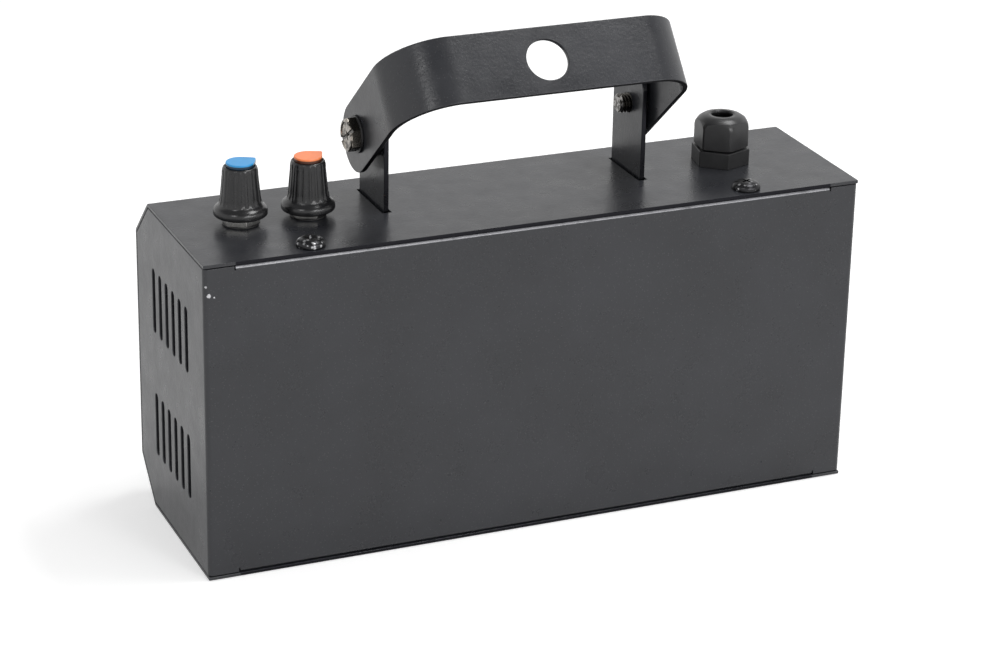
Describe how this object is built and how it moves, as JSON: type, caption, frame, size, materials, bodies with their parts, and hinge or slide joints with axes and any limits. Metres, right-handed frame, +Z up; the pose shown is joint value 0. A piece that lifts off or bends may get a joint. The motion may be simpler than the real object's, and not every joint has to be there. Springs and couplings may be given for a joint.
{
  "type": "strobe light",
  "caption": "Compact box strobe light with a chamfered folded-steel housing, slotted ends, two rotary controls, a cable gland and a swinging mounting yoke.",
  "frame": {"origin": "centre of the housing's footprint, on the flat base of the front shell", "axes": "+X along the housing towards the two knobs, +Y towards the rear cover and away from the lamp window, +Z up out of the top panel"},
  "size_m": [0.207, 0.0747, 0.1547],
  "materials": {
    "black_powder_coat": "satin powder coat with fine orange peel",
    "black_zinc": "black zinc plated",
    "dark_nickel": "dark nickel plated",
    "bright_nickel": "bright nickel plated",
    "zinc_steel": "zinc plated",
    "knob_plastic": "moulded, slightly glossy on the skirt",
    "blue_plastic": "moulded, satin",
    "orange_plastic": "moulded, satin",
    "gland_nylon": "moulded nylon",
    "black_rubber": "matt",
    "clear_panel": "clear acrylic, polished",
    "mirror_plastic": "vacuum metallised",
    "white_board": "white solder mask",
    "green_board": "green solder mask",
    "emitter_dome": "clear silicone over phosphor",
    "aluminium": "mill finish",
    "brass": "bright",
    "capacitor_sleeve": "shrink sleeve",
    "ferrite": "ground ferrite",
    "coil_tape": "wrapped polyester tape",
    "black_epoxy": "moulded epoxy",
    "terminal_green": "moulded",
    "fuse_glass": "clear glass",
    "plated_steel": "plain plated"
  },
  "bodies": {
    "housing": {"front_shell": "black_powder_coat", "rear_cover": "black_powder_coat", "top_cover_screws": "black_zinc", "base_cover_screws": "black_zinc", "window_panel": "clear_panel", "reflector_panel": "mirror_plastic", "lamp_board": "white_board", "lamp_emitters": "emitter_dome", "heat_spreader": "aluminium", "stack_screws": "black_zinc", "hex_spacers": "brass", "rear_board_screws": "zinc_steel", "driver_board": "green_board", "storage_capacitors": "capacitor_sleeve", "transformer_core": "ferrite", "transformer_coil": "coil_tape", "heat_sink": "aluminium", "power_transistors": "black_epoxy", "bridge_rectifier": "black_epoxy", "control_chip": "black_epoxy", "mains_terminal": "terminal_green", "fuse_clips": "brass", "fuse": "fuse_glass", "anchor_bracket": "black_powder_coat", "pivot_bolts": "dark_nickel", "head_washers": "dark_nickel", "friction_washers": "gland_nylon", "pot_bodies": "plated_steel", "pot_lugs": "zinc_steel", "pot_washers": "bright_nickel", "pot_nuts": "bright_nickel", "gland_body": "gland_nylon", "gland_seal": "black_rubber", "gland_cap_nut": "gland_nylon", "gland_locknut": "gland_nylon"},
    "yoke_arm": {"yoke": "black_powder_coat"},
    "blue_dial": {"blue_shaft": "plated_steel", "blue_knob": "knob_plastic", "blue_cap": "blue_plastic"},
    "orange_dial": {"orange_shaft": "plated_steel", "orange_knob": "knob_plastic", "orange_cap": "orange_plastic"}
  },
  "joints": [
    {"name": "yoke_tilt", "type": "hinge", "parent": "housing", "child": "yoke_arm", "pos_m": [0, 0, 0.11925], "axis": [1, 0, 0], "range_deg": [-57, 163]},
    {"name": "blue_turn", "type": "hinge", "parent": "housing", "child": "blue_dial", "pos_m": [0.0831, 0.00485, 0.1], "axis": [0, 0, 1], "range_deg": [-78, 222]},
    {"name": "orange_turn", "type": "hinge", "parent": "housing", "child": "orange_dial", "pos_m": [0.06255, 0.00485, 0.1], "axis": [0, 0, 1], "range_deg": [-84, 216]}
  ]
}
